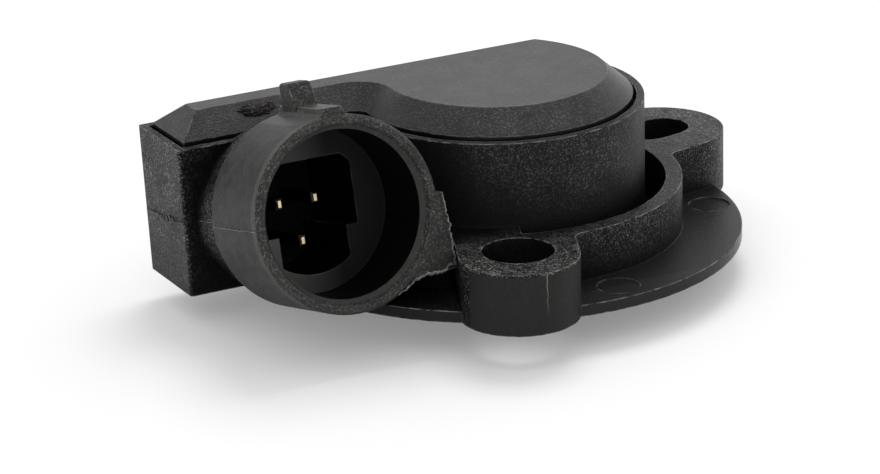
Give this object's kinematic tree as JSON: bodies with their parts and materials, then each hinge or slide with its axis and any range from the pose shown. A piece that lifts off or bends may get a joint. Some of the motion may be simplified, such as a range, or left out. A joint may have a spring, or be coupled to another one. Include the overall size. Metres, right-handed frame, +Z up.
{
  "type": "throttle position sensor",
  "caption": "Rotary throttle position sensor: moulded can on an eared flange, keyhole cover and tilted round plug socket, with a sprung rotor driven from below.",
  "frame": {"origin": "on the rotor's axis, in the plane of the mounting face", "axes": "+Z up through the cover, -X along the arm, -Y out of the plug socket, which also tilts up by 14 degrees"},
  "size_m": [0.0717, 0.0586, 0.0291],
  "materials": {
    "housing_plastic": "spark-textured glass-filled plastic, smoother on the plug socket, pale scuffs on the edges",
    "cover_plastic": "satin moulded plastic",
    "sealant": "cured black sealant",
    "board_substrate": "resin board with dark resistor tracks",
    "terminal_metal": "tin-flashed brass, worn pale at the tips",
    "rotor_plastic": "natural moulded plastic",
    "wiper_metal": "thin sprung contact alloy",
    "spring_steel": "bright drawn steel",
    "seal_rubber": "smooth moulded nitrile"
  },
  "bodies": {
    "base": {"housing": "housing_plastic", "cover": "cover_plastic", "cover_sealant": "sealant", "element_board": "board_substrate", "terminal_supply": "terminal_metal", "terminal_signal": "terminal_metal", "terminal_ground": "terminal_metal", "strap_supply": "terminal_metal", "strap_signal": "terminal_metal", "strap_ground": "terminal_metal", "return_spring": "spring_steel", "thrust_washer": "spring_steel", "rotor_seal": "seal_rubber", "mounting_seal": "seal_rubber"},
    "rotor": {"rotor": "rotor_plastic", "wiper": "wiper_metal"}
  },
  "joints": [
    {"name": "rotor_turn", "type": "hinge", "parent": "base", "child": "rotor", "pos_m": [0, 0, 0], "axis": [0, 0, 1], "range_deg": [0, 95], "stiffness_Nm_per_rad": 0.003, "springref_deg": -34.38, "deforming": ["return_spring"]}
  ]
}
